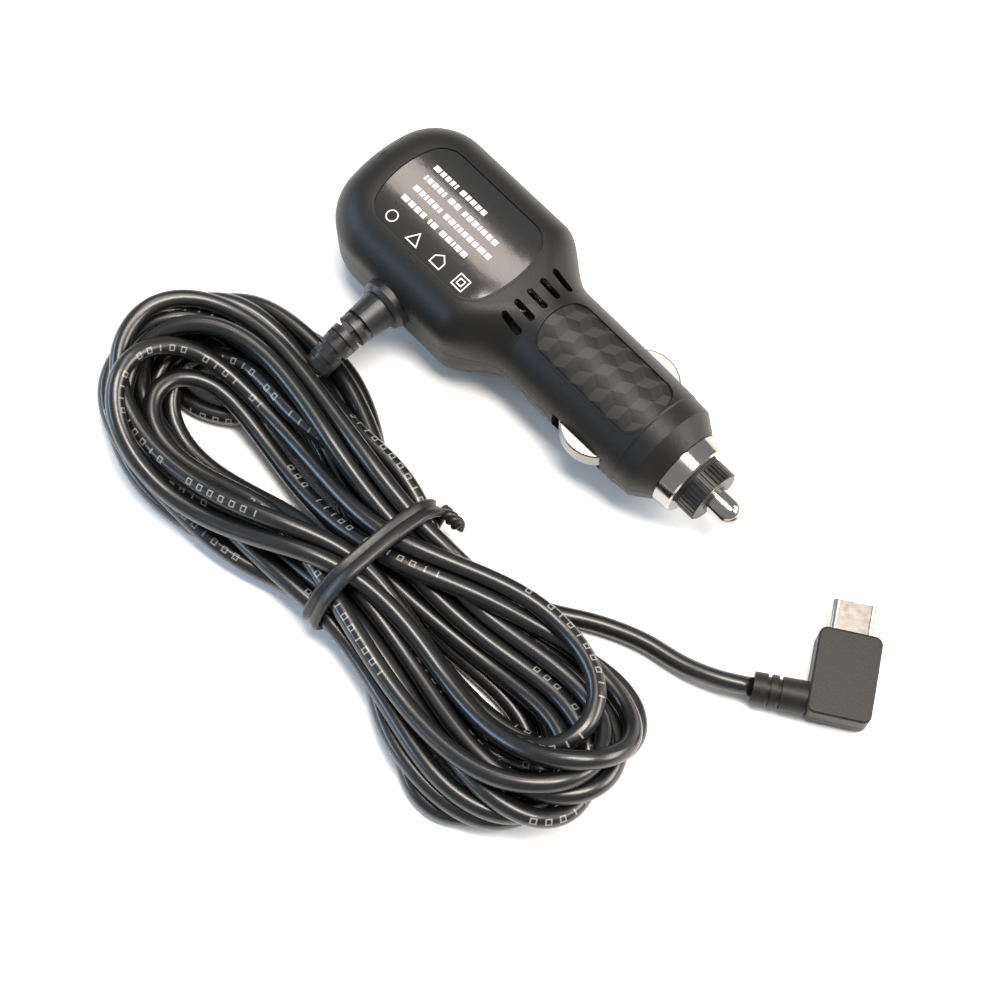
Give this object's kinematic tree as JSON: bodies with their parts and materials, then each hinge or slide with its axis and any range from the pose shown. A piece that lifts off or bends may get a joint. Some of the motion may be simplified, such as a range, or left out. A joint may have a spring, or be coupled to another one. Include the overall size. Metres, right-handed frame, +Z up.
{
  "type": "car power adapter",
  "caption": "Accessory-socket power adapter with sprung tip and side contacts, moulded strain relief, tied cord hank and right-angle plug.",
  "frame": {"origin": "middle of the adapter's length and width, on the surface it lies on", "axes": "+X from the head to the sprung tip, +Z up through the label, -Y the side where the cord leaves"},
  "size_m": [0.1518, 0.093, 0.0241],
  "materials": {
    "housing_plastic": "soft-touch, fine grain",
    "label_film": "glossy film with printed blocks",
    "inlay_print": "printed tumbling cubes",
    "plated_steel": "bright nickel plate",
    "cap_plastic": "knurled",
    "seal_rubber": "smooth",
    "screw_steel": "zinc plated",
    "spring_steel": "drawn wire",
    "terminal_brass": "pressed",
    "fuse_glass": "clear",
    "fuse_element": "drawn wire",
    "holder_plastic": "moulded",
    "board_laminate": "solder mask",
    "ferrite": "sintered",
    "copper_wire": "enamelled",
    "capacitor_can": "drawn can",
    "chip_plastic": "moulded",
    "wire_red": "insulation",
    "wire_black": "insulation",
    "relief_pvc": "moulded on",
    "cord_pvc": "extruded, pale printed dashes",
    "tie_plastic": "ribbed strip with a wire in each edge",
    "plug_plastic": "fine grain",
    "liner_plastic": "moulded",
    "contact_gold": "gold plated"
  },
  "bodies": {
    "housing": {"upper_shell": "housing_plastic", "lower_shell": "housing_plastic", "shell_screw": "screw_steel", "rating_label": "label_film", "grip_inlay": "inlay_print", "retaining_ring": "plated_steel", "fuse_holder": "holder_plastic", "tip_spring": "spring_steel", "spring_terminal": "terminal_brass", "contact_spring_right": "spring_steel", "contact_spring_left": "spring_steel", "circuit_board": "board_laminate", "inductor_core": "ferrite", "inductor_winding": "copper_wire", "input_capacitor": "capacitor_can", "output_capacitor": "capacitor_can", "converter_chip": "chip_plastic", "chip_parts": "chip_plastic", "strain_relief": "relief_pvc", "supply_wire": "wire_red", "return_wire": "wire_black", "cord_lead": "cord_pvc", "cord_hank": "cord_pvc", "cord_tail": "cord_pvc", "hank_tie": "tie_plastic", "plug_body": "plug_plastic", "plug_strain_relief": "plug_plastic", "plug_shell": "plated_steel", "plug_liner": "liner_plastic", "plug_contacts": "contact_gold"},
    "tip_cap": {"tip_cap": "cap_plastic", "cap_seal": "seal_rubber"},
    "tip_pin": {"tip_pin": "plated_steel", "fuse_cap_front": "plated_steel", "fuse_glass": "fuse_glass", "fuse_wire": "fuse_element", "fuse_cap_rear": "plated_steel"},
    "side_contact_left": {"side_contact_left": "plated_steel"},
    "side_contact_right": {"side_contact_right": "plated_steel"}
  },
  "joints": [
    {"name": "cap_turn", "type": "hinge", "parent": "housing", "child": "tip_cap", "pos_m": [0.0393, 0, 0.012], "axis": [1, 0, 0], "range_deg": [0, 1440]},
    {"name": "pin_press", "type": "slide", "parent": "housing", "child": "tip_pin", "axis": [-1, 0, 0], "range_m": [0, 0.0025], "stiffness_N_per_m": 450, "deforming": ["tip_spring"]},
    {"name": "contact_left_press", "type": "slide", "parent": "housing", "child": "side_contact_left", "axis": [0, -1, 0], "range_m": [0, 0.0018], "stiffness_N_per_m": 800, "deforming": ["contact_spring_left"]},
    {"name": "contact_right_press", "type": "slide", "parent": "housing", "child": "side_contact_right", "axis": [0, 1, 0], "range_m": [0, 0.0018], "stiffness_N_per_m": 800, "deforming": ["contact_spring_right"]}
  ]
}
